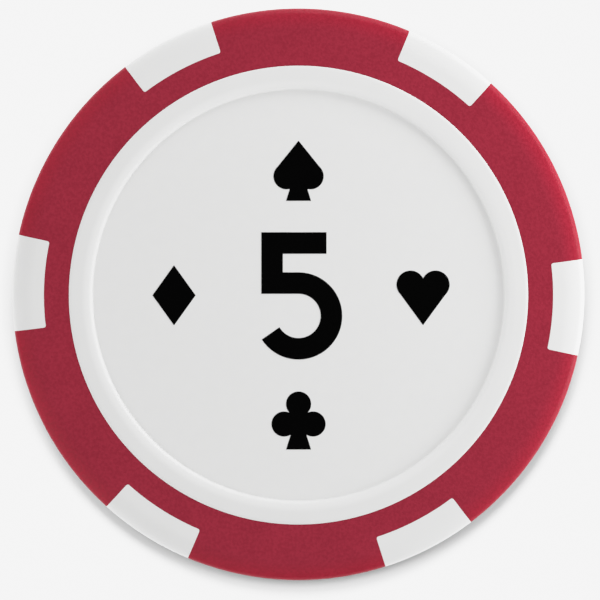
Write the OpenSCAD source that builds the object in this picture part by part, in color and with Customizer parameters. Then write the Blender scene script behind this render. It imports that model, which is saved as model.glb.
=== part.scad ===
// Poker chip with a steel slug, moulded in two colours, with a label on each face.
// The white core is moulded around the slug. It has a hub with a lip round the label recess,
// and six edge spots that thin webs tie to the hub. The red rim is then moulded around the webs.
// The chip lies flat, its origin is at the centre of its lower face, and +Z is up.

/* [Chip] */
// Overall diameter
chip_d = 40; // [36:0.1:46]
// Overall thickness, measured over the two lips
chip_t = 3.3; // [2.9:0.05:4.5]

/* [Red rim] */
// Radial width of the rim, from the hub's wall to the outer edge
rim_w = 3.96; // [3.2:0.02:5]
// How far the lips stand above the rim on each face
lip_rise = 0.04; // [0.02:0.01:0.2]
// Width of the band along the outer edge where the rim's face curves down
crown_w = 1.54; // [1:0.02:2]
// Radius of that gentle curve
crown_r = 4; // [3:0.1:8]
// Radius of the outer corner
corner_r = 0.55; // [0.2:0.05:0.7]

/* [Edge spots] */
// Number of white edge spots
spot_count = 6; // [3:1:8]
// Angle that each spot spans
spot_angle = 19.45; // [8:0.05:30]
// Radial depth of each spot, from the outer edge inwards
spot_depth = 2.22; // [1:0.02:3]
// Thickness of the web that ties each spot to the hub, between the rim's two faces
web_t = 1.3; // [0.6:0.1:2]

/* [Lip and recess] */
// Radial width of the lip round the recess
lip_w = 1.66; // [1.4:0.02:2.4]
// Width of the band along the lip's inner edge where its face curves down
lip_crown_w = 0.84; // [0.5:0.02:1]
// Radius of that gentle curve
lip_crown_r = 3; // [2:0.1:4]
// Radius of the lip's inner corner
lip_corner_r = 0.36; // [0.1:0.02:0.4]
// Width of the round where the lip's outer edge comes down to the rim
lip_edge_w = 0.24; // [0.1:0.02:0.4]
// Depth of the label's face below the lip
label_sink = 0.3; // [0.1:0.02:0.4]

/* [Label] */
// Thickness of the printed film
label_t = 0.1; // [0.05:0.01:0.2]
// Thickness of the adhesive behind the film
adhesive_t = 0.03; // [0.02:0.01:0.08]
// Gap between the label's edge and the wall of the recess
label_gap = 0.01; // [0.01:0.01:0.3]

/* [Steel slug] */
// Thickness of the slug
slug_t = 1.65; // [1:0.05:2]
// White plastic between the slug's edge and the hub's wall
slug_wall = 1.05; // [0.6:0.05:3]
// Number of holes that let the white plastic flow through the slug
slug_holes = 6; // [3:1:8]
// Diameter of these holes
slug_hole_d = 3; // [1.5:0.1:4]
// Distance from the slug's edge to the centres of the holes
slug_hole_inset = 5; // [3:0.1:7]

/* [Mould pin marks] */
// Number of marks on each face, left by the pins that held the slug in the mould
pin_marks = 3; // [2:1:4]
// Diameter of a mark
pin_mark_d = 2; // [1:0.1:3]

/* [Hidden] */

// Cuts run past the faces that they open by this much
past = 1;
// Straight steps in the outline of each round
crown_steps = 6;
round_steps = 8;
$fn = 96;

// The two sides of the chip
front = 1;
back = -1;

// Radii, each measured from the one outside it
chip_r = chip_d / 2;
hub_r = chip_r - rim_w;
recess_r = hub_r - lip_w;
label_r = recess_r - label_gap;
slug_r = hub_r - slug_wall;
spot_r = chip_r - spot_depth;
slug_hole_r = slug_r - slug_hole_inset;

// Heights above and below the middle plane
lip_half = chip_t / 2;
rim_half = lip_half - lip_rise;
label_half = lip_half - label_sink;
adhesive_half = label_half - label_t;
floor_half = adhesive_half - adhesive_t;
web_half = web_t / 2;

// The web runs from the middle of the hub's wall to the middle of the spot
web_inner_r = hub_r - slug_wall / 2;
web_outer_r = chip_r - spot_depth / 2;
spot_pitch = 360 / spot_count;
slug_hole_pitch = 360 / slug_holes;

// The round at the lip's outer edge falls by the lip's rise over its own width
lip_edge_r = (pow(lip_edge_w, 2) + pow(lip_rise, 2)) / (2 * lip_rise);
lip_edge_lean = asin(lip_edge_w / lip_edge_r);

// Points along an arc about a centre, from one angle to another, after its first point
function arc(centre, r, from, to, steps) = [
    for (i = [1:steps])
        let (a = from + (to - from) * i / steps)
            centre + r * [cos(a), sin(a)]
];

// Points from a flat top to an upright wall at wall_x, over a gentle crown and a round corner
// that touch where both lean over by the same angle. The wall is outside (side = 1) or inside (-1)
function crowned_edge(wall_x, top_y, side, band, crown, corner) =
    let (
        reach = crown - corner,
        lean = side * asin((band - corner) / reach),
        crown_c = [wall_x - side * band, top_y - crown],
        corner_c = crown_c + reach * [sin(lean), cos(lean)]
    )
    concat(
        [crown_c + [0, crown]],
        arc(crown_c, crown, 90, 90 - lean, crown_steps),
        arc(corner_c, corner, 90 - lean, 90 - side * 90, round_steps)
    );

function reversed(points) = [for (i = [len(points) - 1:-1:0]) points[i]];

// An upper outline followed back along its mirror image below the middle plane
function with_mirror(upper) = concat(upper, [for (p = reversed(upper)) [p.x, -p.y]]);

// Half section of the rim: flat face, gentle crown, round corner and straight outer wall
module rim_section() {
    polygon(with_mirror(concat(
        [[hub_r, rim_half]],
        crowned_edge(chip_r, rim_half, 1, crown_w, crown_r, corner_r)
    )));
}

// A ring's half section, between two radii and within half a height of the middle plane
module band_section(inner, outer, half) {
    translate([inner, -half])
        square([outer - inner, 2 * half]);
}

// Half section of the hub: the disc under both recesses, and the lip with its two curved edges
module hub_section() {
    lip_edge_x = hub_r - lip_edge_w;
    lip_edge_c = [lip_edge_x, lip_half - lip_edge_r];
    band_section(0, lip_edge_x, floor_half);
    polygon(with_mirror(concat(
        reversed(crowned_edge(recess_r, lip_half, -1, lip_crown_w, lip_crown_r, lip_corner_r)),
        [[lip_edge_x, lip_half]],
        arc(lip_edge_c, lip_edge_r, 90, 90 - lip_edge_lean, round_steps)
    )));
}

// Half section of an edge spot, which carries the rim's own outline
module spot_section() {
    intersection() {
        rim_section();
        band_section(spot_r, chip_r + past, lip_half);
    }
}

// Turns a half section through the angle of each edge spot
module at_spots() {
    for (i = [0:spot_count - 1])
        rotate(i * spot_pitch - spot_angle / 2)
            rotate_extrude(angle = spot_angle)
                children();
}

// Raises what is drawn about the middle plane until the lower lip is at z = 0
module seat() {
    translate([0, 0, lip_half])
        children();
}

// The disc of steel, with its flow holes
module slug_solid() {
    difference() {
        cylinder(r = slug_r, h = slug_t, center = true);
        for (i = [0:slug_holes - 1])
            rotate(i * slug_hole_pitch)
                translate([slug_hole_r, 0, 0])
                    cylinder(d = slug_hole_d, h = slug_t + past, center = true);
    }
}

// Pin marks, from the slug out through both recess floors, each halfway between two flow holes
module pin_mark_cuts() {
    for (i = [0:pin_marks - 1])
        rotate((floor(i * slug_holes / pin_marks) + 0.5) * slug_hole_pitch)
            translate([slug_hole_r, 0, 0])
                cylinder(d = pin_mark_d, h = chip_t + past, center = true);
}

// A disc of the label's size, between two heights from the middle plane towards one side
module label_disc(low, high, side) {
    translate([0, 0, side == front ? low : -high])
        cylinder(r = label_r, h = high - low);
}

module steel_slug() {
    color("#a7abb0")
        seat()
            slug_solid();
}

module white_core() {
    color("#e4e4e2")
        seat() {
            difference() {
                rotate_extrude()
                    hub_section();
                slug_solid();
                pin_mark_cuts();
            }
            at_spots() {
                band_section(web_inner_r, web_outer_r, web_half);
                spot_section();
            }
        }
}

module red_rim() {
    color("#992d3e")
        seat()
            difference() {
                rotate_extrude()
                    rim_section();
                at_spots() {
                    band_section(web_inner_r, web_outer_r, web_half);
                    band_section(spot_r, chip_r + past, lip_half);
                }
            }
}

// The adhesive behind the label on one side
module label_adhesive(side) {
    color("#e9e2c8")
        seat()
            label_disc(floor_half, adhesive_half, side);
}

// The printed film on one side
module label_film(side) {
    color("#f0f0ee")
        seat()
            label_disc(adhesive_half, label_half, side);
}

module front_adhesive() {
    label_adhesive(front);
}

module front_label() {
    label_film(front);
}

module back_adhesive() {
    label_adhesive(back);
}

module back_label() {
    label_film(back);
}

steel_slug();
white_core();
red_rim();
front_adhesive();
front_label();
back_adhesive();
back_label();
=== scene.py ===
"""Dresses the poker chip: its two mouldings, its printed labels and their finishes, in a pale studio."""
import math

import bmesh
import bpy
import numpy as np
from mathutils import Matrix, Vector


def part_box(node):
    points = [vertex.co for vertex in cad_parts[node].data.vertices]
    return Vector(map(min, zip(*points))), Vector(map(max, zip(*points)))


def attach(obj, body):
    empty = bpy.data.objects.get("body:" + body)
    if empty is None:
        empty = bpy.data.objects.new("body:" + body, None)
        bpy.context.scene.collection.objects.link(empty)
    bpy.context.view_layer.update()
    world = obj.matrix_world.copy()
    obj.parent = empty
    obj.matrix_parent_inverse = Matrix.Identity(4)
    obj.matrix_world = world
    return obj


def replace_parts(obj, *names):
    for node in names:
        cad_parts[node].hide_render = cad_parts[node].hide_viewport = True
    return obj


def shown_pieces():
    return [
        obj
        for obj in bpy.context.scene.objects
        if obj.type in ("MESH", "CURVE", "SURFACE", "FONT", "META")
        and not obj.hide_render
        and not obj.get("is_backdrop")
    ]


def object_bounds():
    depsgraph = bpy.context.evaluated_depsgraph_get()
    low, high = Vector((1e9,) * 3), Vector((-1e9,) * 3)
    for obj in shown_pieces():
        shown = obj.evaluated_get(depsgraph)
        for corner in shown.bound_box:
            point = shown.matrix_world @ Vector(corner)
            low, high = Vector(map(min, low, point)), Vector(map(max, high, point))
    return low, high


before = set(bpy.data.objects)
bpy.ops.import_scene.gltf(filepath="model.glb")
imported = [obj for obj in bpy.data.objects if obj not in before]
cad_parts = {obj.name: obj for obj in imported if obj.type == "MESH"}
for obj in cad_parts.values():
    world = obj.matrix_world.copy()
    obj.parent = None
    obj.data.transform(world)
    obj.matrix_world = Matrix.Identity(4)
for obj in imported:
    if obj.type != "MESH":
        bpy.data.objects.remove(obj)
cad_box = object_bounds()

# Sizes that the frame gives, in metres; heights are above the chip's middle plane
MM = 0.001
MIDDLE = cad_box[1].z / 2
CHIP_R = cad_box[1].x
LIP_TOP = cad_box[1].z - MIDDLE
RIM_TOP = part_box("red_rim")[1].z - MIDDLE
LABEL_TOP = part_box("front_label")[1].z - MIDDLE
LABEL_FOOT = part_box("front_label")[0].z - MIDDLE
RECESS_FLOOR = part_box("front_adhesive")[0].z - MIDDLE

# Sizes of the mouldings, the same as in the part
HUB_R = CHIP_R - 3.96 * MM
RECESS_R = HUB_R - 1.66 * MM
RIM_CROWN_BAND = 1.54 * MM
RIM_CROWN_R = 4 * MM
RIM_CORNER_R = 0.55 * MM
LIP_CROWN_BAND = 0.84 * MM
LIP_CROWN_R = 3 * MM
LIP_CORNER_R = 0.36 * MM
LIP_EDGE_BAND = 0.24 * MM
SPOT_COUNT = 6
SPOT_ANGLE = math.radians(19.45)
SPOT_R = CHIP_R - 2.22 * MM
WEB_TOP = 0.65 * MM

# Small rounds that only show close up
SPOT_CORNER_R = 0.15 * MM
SEAM_BEVEL = 0.015 * MM
SEAM_BEVEL_STEPS = 2
FILM_BORDER_R = 0.12 * MM

# Fineness of the surfaces
CROWN_STEPS = 8
CORNER_STEPS = 10
SPOT_CORNER_STEPS = 4
STEP_ANGLE = math.radians(1)
SHARP_ANGLE = math.radians(40)
MERGE_GAP = 0.0005 * MM

# The print on each label, drawn upright in the photograph's frame
PRINT_TURN = math.radians(2.52)
INK_T = 0.012 * MM
STROKE = 1.5 * MM
FLAG_X = 1.95 * MM
FLAG_Y = 3.65 * MM
STEM_X = -1.85 * MM
BOWL_Y = -1.45 * MM
BOWL_R = 2.3 * MM
BOWL_END = math.radians(-148)
BOWL_STEPS = 40
PIP_DISTANCE = 8.7 * MM
PIP_SCALE = 1.75 * MM
PIP_STEPS = 240

FRONT = 1
BACK = -1


class Draft:
    """Grids and flat caps gathered into one closed mesh about the middle plane."""

    def __init__(self):
        self.points = []
        self.faces = []
        self.count = 0

    def take(self, points):
        """Adds points and returns their numbers, in the same arrangement."""
        numbers = self.count + np.arange(points[..., 0].size).reshape(points.shape[:-1])
        self.points.append(points.reshape(-1, 3))
        self.count += numbers.size
        return numbers

    def grid(self, points):
        """Joins each point of a grid to its neighbours along both directions, four to a face."""
        numbers = self.take(points)
        corners = numbers[:-1, :-1], numbers[1:, :-1], numbers[1:, 1:], numbers[:-1, 1:]
        self.faces += np.stack(corners, axis=-1).reshape(-1, 4).tolist()

    def cap(self, points):
        """Fills a flat outline with one face."""
        self.faces.append(self.take(points).tolist())

    def piece(self, name, material, slot):
        """Makes the object: points that meet are merged, and faces are turned outwards."""
        mesh = bpy.data.meshes.new(name)
        mesh.from_pydata(np.concatenate(self.points) + (0, 0, MIDDLE), [], self.faces)
        work = bmesh.new()
        work.from_mesh(mesh)
        bmesh.ops.remove_doubles(work, verts=work.verts, dist=MERGE_GAP)
        bmesh.ops.recalc_face_normals(work, faces=work.faces)
        work.to_mesh(mesh)
        work.free()
        mesh.shade_smooth()
        mesh.set_sharp_from_angle(angle=SHARP_ANGLE)
        mesh.materials.append(material)
        made = bpy.data.objects.new(name, mesh)
        bpy.context.scene.collection.objects.link(made)
        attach(made, "root")
        return made


def arc(centre, radius, start, end, steps):
    """Points on a circle about a centre, at even angles from start to end."""
    turn = np.linspace(start, end, steps + 1)
    return np.asarray(centre) + radius * np.column_stack((np.cos(turn), np.sin(turn)))


def corner_centre(wall, top, side, band, crown_r, corner_r):
    """Centre of the small circle in a crowned edge.

    The small circle touches the wall, so its centre is its radius in from there. It touches the gentle
    circle from inside, so the two centres are as far apart as the radii differ.
    """
    drop = crown_r - math.sqrt((crown_r - corner_r) ** 2 - (band - corner_r) ** 2)
    return np.array((wall - side * corner_r, top - drop))


def crowned_edge(wall, top, side, band, crown_r, corner_r):
    """Outline from a flat top to an upright wall, which is outside (side 1) or inside (side -1).

    A gentle circle starts level where the band starts. A small circle takes over where both lean
    alike, so the two share a tangent, and ends upright on the wall.
    """
    lean = side * math.asin((band - corner_r) / (crown_r - corner_r))
    upright = math.pi / 2
    crown_c = wall - side * band, top - crown_r
    corner_c = corner_centre(wall, top, side, band, crown_r, corner_r)
    crown = arc(crown_c, crown_r, upright, upright - lean, CROWN_STEPS)
    corner = arc(corner_c, corner_r, upright - lean, upright - side * upright, CORNER_STEPS)
    return np.concatenate((crown, corner[1:]))


def with_mirror(upper):
    """An upper outline, followed back along its mirror image below the middle plane."""
    return np.concatenate((upper, upper[::-1] * (1, -1)))


def turned(outline, angles):
    """Carries an outline round the axis: x is radius times cosine, y is radius times sine.

    The outline's points are (radius, height), the same at every angle or one row for each angle.
    """
    outline = np.broadcast_to(outline, (len(angles),) + outline.shape[-2:])
    radius = outline[..., 0]
    angles = np.asarray(angles)[:, None]
    return np.stack((radius * np.cos(angles), radius * np.sin(angles), outline[..., 1]), axis=-1)


def spread(start, end):
    """Even angles from start to end, about one step apart."""
    return np.linspace(start, end, math.ceil((end - start) / STEP_ANGLE) + 1)


def spot_inner_edge():
    """Angles across an edge spot from its middle, and the radius of its inner edge at each.

    The two inner corners are quarter rounds: a distance d in from the spot's side, the edge is
    further out by R minus the root of R squared minus (R - d) squared, R being the corner's radius.
    """
    inset = SPOT_CORNER_R * np.linspace(0, 1, SPOT_CORNER_STEPS + 1)
    rise = SPOT_CORNER_R - np.sqrt(SPOT_CORNER_R ** 2 - (SPOT_CORNER_R - inset) ** 2)
    side = inset / SPOT_R - SPOT_ANGLE / 2
    middle = spread(side[-1], -side[-1])[1:-1]
    angles = np.concatenate((side, middle, -side[::-1]))
    radii = SPOT_R + np.concatenate((rise, np.zeros(len(middle)), rise[::-1]))
    return angles, radii


def rim_edge():
    """Upper outline of the rim's outer edge, which the edge spots share."""
    return crowned_edge(CHIP_R, RIM_TOP, 1, RIM_CROWN_BAND, RIM_CROWN_R, RIM_CORNER_R)


def hub_outline():
    """Upper outline of the hub: recess floor, lip with its two curved edges, and wall down to the webs.

    The lip's outer edge is an arc that starts level and falls from the lip to the rim over its band,
    so its radius is the band squared plus the fall squared, over twice the fall.
    """
    inner = crowned_edge(RECESS_R, LIP_TOP, -1, LIP_CROWN_BAND, LIP_CROWN_R, LIP_CORNER_R)
    fall = LIP_TOP - RIM_TOP
    edge_r = (LIP_EDGE_BAND ** 2 + fall ** 2) / (2 * fall)
    edge_c = HUB_R - LIP_EDGE_BAND, LIP_TOP - edge_r
    lean = math.asin(LIP_EDGE_BAND / edge_r)
    outer = arc(edge_c, edge_r, math.pi / 2, math.pi / 2 - lean, CROWN_STEPS)
    floor = [(0, RECESS_FLOOR), (RECESS_R, RECESS_FLOOR)]
    return np.concatenate((floor, inner[::-1], outer, [(HUB_R, WEB_TOP)]))


def spot_middles():
    """Angle of each edge spot's middle."""
    return np.arange(SPOT_COUNT) * (2 * math.pi / SPOT_COUNT)


def plain_stretch(middle):
    """Angles from the end of the spot at a middle angle to the start of the next spot."""
    pitch = 2 * math.pi / SPOT_COUNT
    return middle + spread(SPOT_ANGLE / 2, pitch - SPOT_ANGLE / 2)


def add_spot_sides(draft, middle, side_r):
    """Closes both sides of a spot and its web with flat faces."""
    side = np.concatenate(([(HUB_R, WEB_TOP), (side_r, WEB_TOP), (side_r, RIM_TOP)], rim_edge()))
    for end in (-SPOT_ANGLE / 2, SPOT_ANGLE / 2):
        draft.cap(turned(with_mirror(side), [middle + end])[0])


def add_seam_bevel(piece):
    """Breaks the sharp edges, so that the seam between the two plastics is a fine groove."""
    bevel = piece.modifiers.new("seam_bevel", "BEVEL")
    bevel.width = SEAM_BEVEL
    bevel.segments = SEAM_BEVEL_STEPS
    bevel.limit_method = "ANGLE"
    bevel.angle_limit = SHARP_ANGLE
    bevel.use_clamp_overlap = False
    bevel.harden_normals = True


def keep_floor_untinted(piece):
    """Keeps light that a moulding throws back from colouring the floor beside it."""
    piece.visible_diffuse = False


def make_white_core(material):
    """The hub turned round the axis, widened by a web and an edge spot at each spot's angles."""
    draft = Draft()
    hub = hub_outline()
    spot = np.concatenate((hub, [(SPOT_R, WEB_TOP), (SPOT_R, RIM_TOP)], rim_edge()))
    across, inner_r = spot_inner_edge()
    outlines = np.repeat(with_mirror(spot)[None], len(across), axis=0)
    outlines[..., 0] = np.where(outlines[..., 0] == SPOT_R, inner_r[:, None], outlines[..., 0])
    for middle in spot_middles():
        draft.grid(turned(with_mirror(hub), plain_stretch(middle)))
        draft.grid(turned(outlines, middle + across))
        add_spot_sides(draft, middle, inner_r[0])
    piece = draft.piece("white_moulding", material, "white_plastic")
    add_seam_bevel(piece)
    keep_floor_untinted(piece)
    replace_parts(piece, "white_core")


def make_red_rim(material):
    """The rim's whole section between the spots, and a bridge above and below each spot's web."""
    draft = Draft()
    across, inner_r = spot_inner_edge()
    upper = np.concatenate(([(HUB_R, WEB_TOP), (HUB_R, RIM_TOP), (inner_r[0], RIM_TOP)], rim_edge()))
    section = with_mirror(upper)
    section = np.concatenate((section, section[:1]))
    hub_r = np.full(len(across), HUB_R)
    bridge_r = np.stack((hub_r, hub_r, inner_r, inner_r, hub_r), axis=-1)
    bridge_z = np.broadcast_to((WEB_TOP, RIM_TOP, RIM_TOP, WEB_TOP, WEB_TOP), bridge_r.shape)
    for middle in spot_middles():
        draft.grid(turned(section, plain_stretch(middle)))
        for face in (FRONT, BACK):
            draft.grid(turned(np.stack((bridge_r, face * bridge_z), axis=-1), middle + across))
        add_spot_sides(draft, middle, inner_r[0])
    piece = draft.piece("red_moulding", material, "red_plastic")
    add_seam_bevel(piece)
    keep_floor_untinted(piece)
    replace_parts(piece, "red_rim")


def on_face(points, face):
    """Turns points of the front over to the back, about the X axis: y and height change sign."""
    return points * (1, face, face)


def make_label(name, face, material, node):
    """The film: a flat disc whose border turns up against the lip, turned round the axis.

    The border is a hollow round that touches the film's face and the lip's inner corner, so its centre
    is its own radius above the face, and both radii away from the corner's centre. The film's side
    then follows the corner down.
    """
    corner_c = corner_centre(RECESS_R, LIP_TOP, -1, LIP_CROWN_BAND, LIP_CROWN_R, LIP_CORNER_R)
    reach = FILM_BORDER_R + LIP_CORNER_R
    touch = math.asin((LABEL_TOP + FILM_BORDER_R - corner_c[1]) / reach)
    foot = math.asin((LABEL_FOOT - corner_c[1]) / LIP_CORNER_R)
    border_c = corner_c + reach * np.array((-math.cos(touch), math.sin(touch)))
    border = arc(border_c, FILM_BORDER_R, -math.pi / 2, -touch, CROWN_STEPS)
    side = arc(corner_c, LIP_CORNER_R, math.pi - touch, math.pi - foot, CROWN_STEPS)
    flat = [(0, LABEL_TOP), (border_c[0] - FILM_BORDER_R, LABEL_TOP)]
    outline = np.concatenate((flat, border, side[1:], [(0, LABEL_FOOT)]))
    draft = Draft()
    draft.grid(on_face(turned(outline, spread(0, 2 * math.pi)), face))
    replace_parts(draft.piece(name, material, "label_film"), node)


def in_chip_frame(x, y):
    """Turns a place in the photograph's upright frame about the axis, into the chip's own frame."""
    cos, sin = math.cos(PRINT_TURN), math.sin(PRINT_TURN)
    return x * cos - y * sin, x * sin + y * cos


def printed(outline, low, face):
    """Lays points that are drawn upright on the label at a height on a face."""
    x, y = in_chip_frame(outline[..., 0], outline[..., 1])
    return on_face(np.stack((x, y, np.full(x.shape, low)), axis=-1), face)


def numeral_path():
    """Middle line of the numeral: along its flag, down its stem, and round its bowl, which is an arc."""
    straight = [(FLAG_X, FLAG_Y), (STEM_X, FLAG_Y), (STEM_X, BOWL_Y + BOWL_R)]
    return np.concatenate((straight, arc((0, BOWL_Y), BOWL_R, math.pi / 2, BOWL_END, BOWL_STEPS)))


def mitred_sides(path, width):
    """The two sides of a stroke, half a width along the mitre at each point of its path.

    The mitre is the sum of the normals of the two lines that meet there, over half its own square.
    """
    along = np.diff(path, axis=0)
    along /= np.linalg.norm(along, axis=1)[:, None]
    before = np.concatenate((along[:1], along))
    after = np.concatenate((along, along[-1:]))
    mitre = np.stack((-(before + after)[:, 1], (before + after)[:, 0]), axis=-1)
    mitre /= np.sum(mitre ** 2, axis=1)[:, None] / 2
    return path + mitre * width / 2, path - mitre * width / 2


def add_numeral(draft, face):
    """A flat stroke: a thin oblong section carried along the numeral's path, with flat ends."""
    left, right = mitred_sides(numeral_path(), STROKE)
    top, foot = LABEL_TOP + INK_T, LABEL_TOP
    section = [
        printed(left, foot, face),
        printed(left, top, face),
        printed(right, top, face),
        printed(right, foot, face),
        printed(left, foot, face),
    ]
    points = np.stack(section, axis=1)
    draft.grid(points)
    draft.cap(points[0, :-1])
    draft.cap(points[-1, :-1])


def disc_reach(centre, radius, directions):
    """How far a ray from the origin runs before it leaves a disc for good, or 0 where it misses.

    That is as far as the centre lies along the ray, plus the root of that squared, less the centre's
    distance squared, plus the radius squared.
    """
    along = directions @ np.asarray(centre)
    inside = along ** 2 - np.dot(centre, centre) + radius ** 2
    return np.where(inside > 0, along + np.sqrt(np.maximum(inside, 0)), 0)


def polygon_reach(corners, directions):
    """How far a ray from the origin runs inside a convex outline that holds the origin.

    The corners run anticlockwise. The ray leaves at the nearest side that it heads for, as far out as
    the side's offset over the ray's heading towards it.
    """
    least = 1e-9
    corners = np.asarray(corners, dtype=float)
    sides = np.roll(corners, -1, axis=0) - corners
    outward = np.stack((sides[:, 1], -sides[:, 0]), axis=-1)
    heading = directions @ outward.T
    offset = np.sum(outward * corners, axis=1)
    leaving = np.where(heading > least, offset / np.maximum(heading, least), np.inf)
    return leaving.min(axis=1)


# Each pip is a union of discs (centre, radius) and convex outlines about its own centre
STEM = [(0, 0.3), (-0.12, 0), (-0.5, -1.2), (0.5, -1.2), (0.12, 0)]
PIPS = {
    "spade": (
        [((-0.48, -0.22), 0.52), ((0.48, -0.22), 0.52)],
        [[(-0.9, 0.08), (-0.6, -0.4), (0.6, -0.4), (0.9, 0.08), (0, 1.2)], STEM],
    ),
    "heart": (
        [((-0.5, 0.42), 0.56), ((0.5, 0.42), 0.56)],
        [[(-0.98, 0.14), (0, -1.2), (0.98, 0.14), (0.4, 0.5), (-0.4, 0.5)]],
    ),
    "club": (
        [((0, 0.62), 0.5), ((-0.58, -0.18), 0.5), ((0.58, -0.18), 0.5), ((0, 0.05), 0.3)],
        [STEM],
    ),
    "diamond": (
        [],
        [[(0.86, 0), (0, 1.2), (-0.86, 0), (0, -1.2)]],
    ),
}
PIP_PLACES = {"spade": 90, "heart": 0, "club": 270, "diamond": 180}


def pip_outline(name):
    """Outline of a pip: in each direction from its centre, its discs' and outlines' furthest reach."""
    discs, polygons = PIPS[name]
    turn = np.linspace(0, 2 * math.pi, PIP_STEPS + 1)
    directions = np.column_stack((np.cos(turn), np.sin(turn)))
    reaches = [disc_reach(centre, radius, directions) for centre, radius in discs]
    reaches += [polygon_reach(corners, directions) for corners in polygons]
    return directions * np.max(reaches, axis=0)[:, None] * PIP_SCALE


def add_pip(draft, name, face):
    """A thin plate: its outline drawn in to its centre on top and below, and joined by its edge."""
    place = math.radians(PIP_PLACES[name])
    centre = PIP_DISTANCE * np.array((math.cos(place), math.sin(place)))
    outline = centre + pip_outline(name)
    middle = np.broadcast_to(centre, outline.shape)
    top, foot = LABEL_TOP + INK_T, LABEL_TOP
    rows = [
        printed(middle, top, face),
        printed(outline, top, face),
        printed(outline, foot, face),
        printed(middle, foot, face),
    ]
    draft.grid(np.stack(rows, axis=1))


def make_print(name, face, material):
    """The print on one label: a numeral with the four suits around it."""
    draft = Draft()
    add_numeral(draft, face)
    for pip in PIPS:
        add_pip(draft, pip, face)
    draft.piece(name, material, "label_film")


class Signal:
    """A shader socket that takes part in arithmetic: each operation adds a Math node."""

    def __init__(self, wiring, socket):
        self.wiring = wiring
        self.socket = socket

    def math(self, operation, first, second):
        return self.wiring.node("ShaderNodeMath", {"operation": operation}, {0: first, 1: second})

    def __add__(self, other):
        return self.math("ADD", self, other)

    def __radd__(self, other):
        return self.math("ADD", other, self)

    def __sub__(self, other):
        return self.math("SUBTRACT", self, other)

    def __rsub__(self, other):
        return self.math("SUBTRACT", other, self)

    def __mul__(self, other):
        return self.math("MULTIPLY", self, other)

    def __rmul__(self, other):
        return self.math("MULTIPLY", other, self)


class Wiring:
    """The nodes of a material or of the world, started afresh."""

    def __init__(self, owner):
        owner.use_nodes = True
        self.tree = owner.node_tree
        self.tree.nodes.clear()

    def node(self, kind, settings=None, sockets=None, output=0):
        """Adds a node, makes its settings first, then gives its sockets their values or links."""
        made = self.tree.nodes.new(kind)
        for name, value in (settings or {}).items():
            setattr(made, name, value)
        for name, value in (sockets or {}).items():
            if isinstance(value, Signal):
                self.tree.links.new(value.socket, made.inputs[name])
            else:
                made.inputs[name].default_value = value
        return Signal(self, made.outputs[output]) if made.outputs else None


class Finish(Wiring):
    """A procedural material whose patterns lie in the chip's own coordinates."""

    def __init__(self, name):
        self.material = bpy.data.materials.new(name)
        super().__init__(self.material)
        self.place = self.node("ShaderNodeTexCoord", output="Object")

    def stretched(self, *factors):
        """The chip's own coordinates, each times its own factor."""
        return self.node("ShaderNodeVectorMath", {"operation": "MULTIPLY"}, {0: self.place, 1: factors})

    def noise(self, size, detail=2, place=None):
        """Smooth random values about one half, with features about a size across."""
        sockets = {"Vector": place or self.place, "Scale": 1 / size, "Detail": detail}
        return self.node("ShaderNodeTexNoise", None, sockets)

    def ramp(self, value, low, high):
        """Rises smoothly from 0 to 1 as a value goes from low to high."""
        sockets = {"Value": value, "From Min": low, "From Max": high}
        return self.node("ShaderNodeMapRange", {"interpolation_type": "SMOOTHSTEP"}, sockets)

    def blend(self, share, first, second):
        """Mixes two colours, with a share of the second."""
        return self.node("ShaderNodeMix", {"data_type": "RGBA"}, {0: share, 6: first, 7: second}, 2)

    def axis_distance(self):
        """Distance from the chip's axis: the length of the coordinates without their height."""
        flat = self.stretched(1, 1, 0)
        return self.node("ShaderNodeVectorMath", {"operation": "LENGTH"}, {0: flat}, "Value")

    def relief(self, height, depth):
        """Normal of a surface whose small relief is a height from 0 to 1 times a depth."""
        return self.node("ShaderNodeBump", None, {"Height": height, "Distance": depth})

    def surface(self, **sockets):
        """Ends the material in one shader, whose sockets are named with underscores for spaces."""
        named = {name.replace("_", " "): value for name, value in sockets.items()}
        shader = self.node("ShaderNodeBsdfPrincipled", None, named)
        self.node("ShaderNodeOutputMaterial", None, {"Surface": shader})
        return self.material


def colour(red, green, blue):
    """A colour's linear parts, with full cover."""
    return red, green, blue, 1


def red_plastic():
    """Red moulded plastic: a fine matt grain, slight clouding, and a faintly rubbed outer edge.

    Over the crown the red is painted lighter, a painted highlight for the light that the crown catches,
    and it is a little purer there.
    """
    rubbed_band = 0.5 * MM
    finish = Finish("red_plastic")
    grain = finish.ramp(finish.noise(0.2 * MM, 3), 0.3, 0.7)
    cloud = finish.noise(2.5 * MM, 3)
    fleck = finish.noise(0.4 * MM)
    radius = finish.axis_distance()
    edge = finish.ramp(radius, CHIP_R - rubbed_band, CHIP_R)
    rubbed = edge * finish.ramp(fleck, 0.4, 0.7)
    mottle = cloud * 0.5 + grain * 0.5
    face = finish.blend(mottle, colour(0.243, 0.0144, 0.031), colour(0.342, 0.022, 0.045))
    # Crown red: lighter than the face red as a painted highlight, and a little purer
    crown = finish.blend(mottle, colour(0.281, 0.0092, 0.024), colour(0.385, 0.0134, 0.0352))
    body = finish.blend(finish.ramp(radius, CHIP_R - RIM_CROWN_BAND, CHIP_R), face, crown)
    return finish.surface(
        Base_Color=finish.blend(rubbed * 0.05, body, colour(0.5, 0.06, 0.09)),
        Roughness=0.45 + 0.1 * grain - 0.05 * rubbed,
        Specular_IOR_Level=0.15,
        Normal=finish.relief(grain, 0.006 * MM),
    )


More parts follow.
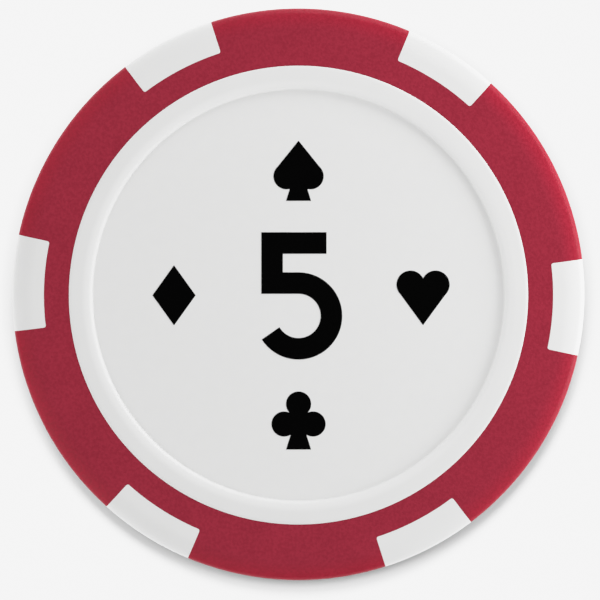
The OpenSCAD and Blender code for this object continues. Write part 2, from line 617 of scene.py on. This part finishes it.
def white_plastic():
    """White moulded plastic: smooth satin, a trace of clouding, and a smoother lip.

    The lip's inner crown is painted a lighter white: a painted highlight for the light that the crown
    catches, there only for its tone.
    """
    finish = Finish("white_plastic")
    grain = finish.noise(0.18 * MM, 3)
    cloud = finish.noise(3 * MM, 3)
    radius = finish.axis_distance()
    inner = finish.ramp(radius, RECESS_R, RECESS_R + LIP_CROWN_BAND)
    outer = finish.ramp(radius, HUB_R, HUB_R - LIP_EDGE_BAND)
    lip = inner * outer
    # Mask of the painted highlight on the lip's inner crown
    crown = finish.ramp(radius, RECESS_R + LIP_CROWN_BAND, RECESS_R + LIP_CORNER_R)
    body = finish.blend(cloud, colour(0.77, 0.77, 0.765), colour(0.81, 0.81, 0.805))
    return finish.surface(
        # Base colour, with the painted highlight on the lip's inner crown
        Base_Color=finish.blend(crown, body, colour(0.845, 0.845, 0.84)),
        Roughness=0.44 + 0.06 * grain - 0.06 * lip,
        Normal=finish.relief(grain, 0.0015 * MM),
    )


def label_film():
    """White printed film: semi-matt, with a faint ripple from its adhesive."""
    finish = Finish("label_film")
    ripple = finish.noise(0.8 * MM, 1)
    tooth = finish.noise(0.06 * MM, 2)
    return finish.surface(
        Base_Color=finish.blend(ripple, colour(0.775, 0.775, 0.77), colour(0.795, 0.795, 0.79)),
        Roughness=0.5 + 0.06 * tooth,
        Normal=finish.relief(ripple + 0.2 * tooth, 0.001 * MM),
    )


def black_ink():
    """Black print: matt pigment with a slight mottle."""
    finish = Finish("black_ink")
    mottle = finish.noise(0.2 * MM, 3)
    return finish.surface(
        Base_Color=finish.blend(mottle, colour(0.0005, 0.0005, 0.0005), colour(0.0015, 0.0015, 0.0015)),
        Roughness=0.75 + 0.15 * mottle,
        Specular_IOR_Level=0.01,
        Normal=finish.relief(mottle, 0.001 * MM),
    )


def zinc_steel():
    """Punched steel with a thin zinc coat: dull, with soft spangle and fine rolling lines."""
    finish = Finish("zinc_steel")
    spangle = finish.noise(1.6 * MM, 3)
    lines = finish.noise(2 * MM, place=finish.stretched(1, 40, 1))
    return finish.surface(
        Base_Color=finish.blend(spangle, colour(0.42, 0.42, 0.43), colour(0.55, 0.55, 0.56)),
        Metallic=1,
        Roughness=0.3 + 0.2 * spangle,
        Normal=finish.relief(lines, 0.002 * MM),
    )


def adhesive_coat():
    """Pale acrylic adhesive with small streaks."""
    finish = Finish("adhesive_coat")
    streak = finish.noise(0.7 * MM, 3)
    return finish.surface(
        Base_Color=finish.blend(streak, colour(0.68, 0.65, 0.52), colour(0.76, 0.73, 0.6)),
        Roughness=0.25 + 0.2 * streak,
        Normal=finish.relief(streak, 0.002 * MM),
    )


def pale_card():
    """The floor: smooth pale card."""
    finish = Finish("pale_card")
    fibre = finish.noise(1.5 * MM, 3)
    return finish.surface(
        Base_Color=finish.blend(fibre, colour(0.895, 0.895, 0.895), colour(0.905, 0.905, 0.905)),
        Roughness=0.9,
        Specular_IOR_Level=0,
    )


# Half the side of the floor, in metres
FLOOR_HALF = 3


def make_floor():
    """A flat square sheet that the chip lies on, from minus to plus half its side both ways."""
    ends = np.array((-FLOOR_HALF, FLOOR_HALF))
    x, y = np.meshgrid(ends, ends, indexing="ij")
    mesh = bpy.data.meshes.new("floor")
    corners = np.stack((x, y, np.zeros(x.shape)), axis=-1).reshape(-1, 3)
    mesh.from_pydata(corners, [], [(0, 2, 3, 1)])
    mesh.materials.append(pale_card())
    floor = bpy.data.objects.new("floor", mesh)
    bpy.context.scene.collection.objects.link(floor)
    floor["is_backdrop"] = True
    return floor


# Lights on the chip: name, azimuth from +X, elevation, distance, width, height and power of each panel
CHIP_PANELS = (
    ("upper_left_box", 135, 40, 0.4, 0.3, 0.3, 0.61),
    ("lower_left_box", 225, 40, 0.4, 0.3, 0.3, 0.89),
    ("lower_right_box", 315, 40, 0.4, 0.3, 0.3, 0.45),
    ("right_strip", 0, 12, 0.08, 0.06, 0.02, 0.051),
    ("corner_strip", 45, 13, 0.09, 0.05, 0.02, 0.032),
    ("top_strip", 85, 14, 0.1, 0.05, 0.025, 0.03),
)
# Lights on the floor, the same way: far panels, three towards the image's top and one almost overhead
FLOOR_PANELS = (
    ("floor_right", 38, 71, 20, 7, 4.2, 1560),
    ("floor_top", 96, 65, 20, 6, 3.6, 2420),
    ("floor_left", 152, 72, 20, 7, 4.2, 1730),
    ("floor_fill", 90, 89, 20, 0.7, 0.7, 500),
)


def receivers(name, objects):
    """A collection of what a light falls on."""
    group = bpy.data.collections.new(name)
    for each in objects:
        group.objects.link(each)
    return group


def towards(azimuth, elevation):
    """Direction from the chip at an azimuth from +X and an elevation above the floor, in degrees."""
    turn, rise = math.radians(azimuth), math.radians(elevation)
    return Vector((math.cos(rise) * math.cos(turn), math.cos(rise) * math.sin(turn), math.sin(rise)))


def add_panel(name, place, width, height, power, group):
    """Stands an oblong soft light at a place, facing the chip, and gives it what it falls on."""
    light = bpy.data.lights.new(name, "AREA")
    light.shape = "RECTANGLE"
    light.size = width
    light.size_y = height
    light.energy = power
    lamp = bpy.data.objects.new(name, light)
    lamp.location = place
    lamp.rotation_euler = place.to_track_quat("Z", "Y").to_euler()
    lamp.light_linking.receiver_collection = group
    lamp.visible_camera = False
    bpy.context.scene.collection.objects.link(lamp)


def make_lights(floor):
    """Three soft boxes and three low strips for the chip alone, and far panels for the floor alone."""
    chip = receivers("chip_light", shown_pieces())
    ground = receivers("floor_light", [floor])
    for panels, group in ((CHIP_PANELS, chip), (FLOOR_PANELS, ground)):
        for name, azimuth, elevation, distance, width, height, power in panels:
            add_panel(name, towards(azimuth, elevation) * distance, width, height, power, group)


# How bright the room is as a light, and as the camera sees it
ROOM_STRENGTH = 0.1
SEEN_STRENGTH = 1.4


def make_world():
    """A dim pale room that looks as bright as the floor to the camera."""
    world = bpy.data.worlds.new("room")
    bpy.context.scene.world = world
    wiring = Wiring(world)
    white = colour(1, 1, 1)
    camera_ray = wiring.node("ShaderNodeLightPath", output="Is Camera Ray")
    room = wiring.node("ShaderNodeBackground", None, {"Color": white, "Strength": ROOM_STRENGTH})
    seen = wiring.node("ShaderNodeBackground", None, {"Color": white, "Strength": SEEN_STRENGTH})
    mix = wiring.node("ShaderNodeMixShader", None, {0: camera_ray, 1: room, 2: seen})
    wiring.node("ShaderNodeOutputWorld", None, {"Surface": mix})


# Tones are kept up to the knee, and above it they bend towards a limit
TONE_KNEE = 0.6
TONE_LIMIT = 0.945
TONE_TOP = 2.4
TONE_STEPS = 12
# The view's fourth curve bends all colours alike
SHARED_CURVE = 3


def set_tones(view):
    """Soft highlights: above the knee, the gap to the limit shrinks exponentially."""
    view.view_transform = "Standard"
    view.use_curve_mapping = True
    mapping = view.curve_mapping
    mapping.clip_max_x = TONE_TOP
    room = TONE_LIMIT - TONE_KNEE
    bright = np.linspace(TONE_KNEE, TONE_TOP, TONE_STEPS)
    shown = TONE_LIMIT - room * np.exp((TONE_KNEE - bright) / room)
    points = mapping.curves[SHARED_CURVE].points
    points[0].location = 0, 0
    points[1].location = bright[-1], shown[-1]
    for place in zip(bright[:-1], shown[:-1]):
        points.new(*place)
    mapping.update()


# The photograph's frame: image size, the chip's centre in it and the scale there, all in its pixels
IMAGE_SIZE = 600
CENTRE_X = 298.6
CENTRE_Y = 295.4
PIXELS_PER_MM = 14.32
# The camera stands this far off the chip's axis, towards the image's top and its left
LEAN_UP = math.radians(2.8)
LEAN_LEFT = math.radians(0.8)
# Lens and sensor in millimetres
LENS = 500
SENSOR = 36


def make_camera():
    """Looks down through a long lens, turned, leant and set off to frame the chip as photographed."""
    camera = bpy.data.cameras.new("camera")
    camera.lens = LENS
    camera.sensor_width = SENSOR
    span = IMAGE_SIZE / PIXELS_PER_MM * MM
    right = (IMAGE_SIZE / 2 - CENTRE_X) / PIXELS_PER_MM * MM
    up = (CENTRE_Y - IMAGE_SIZE / 2) / PIXELS_PER_MM * MM
    target = Vector((*in_chip_frame(right, up), MIDDLE + RIM_TOP))
    distance = span * LENS / SENSOR
    view = bpy.data.objects.new("camera", camera)
    view.rotation_euler = -LEAN_UP, -LEAN_LEFT, PRINT_TURN
    view.location = target + view.rotation_euler.to_matrix() @ Vector((0, 0, distance))
    bpy.context.scene.collection.objects.link(view)
    bpy.context.scene.camera = view


make_white_core(white_plastic())
make_red_rim(red_plastic())
film = label_film()
ink = black_ink()
for face_name, face in (("front", FRONT), ("back", BACK)):
    make_label(face_name + "_film", face, film, face_name + "_label")
    make_print(face_name + "_print", face, ink)
adhesive = adhesive_coat()
for node_name, material in (
    ("steel_slug", zinc_steel()),
    ("front_adhesive", adhesive),
    ("back_adhesive", adhesive),
):
    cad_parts[node_name].material_slots[0].material = material

make_camera()
make_lights(make_floor())
make_world()
set_tones(bpy.context.scene.view_settings)
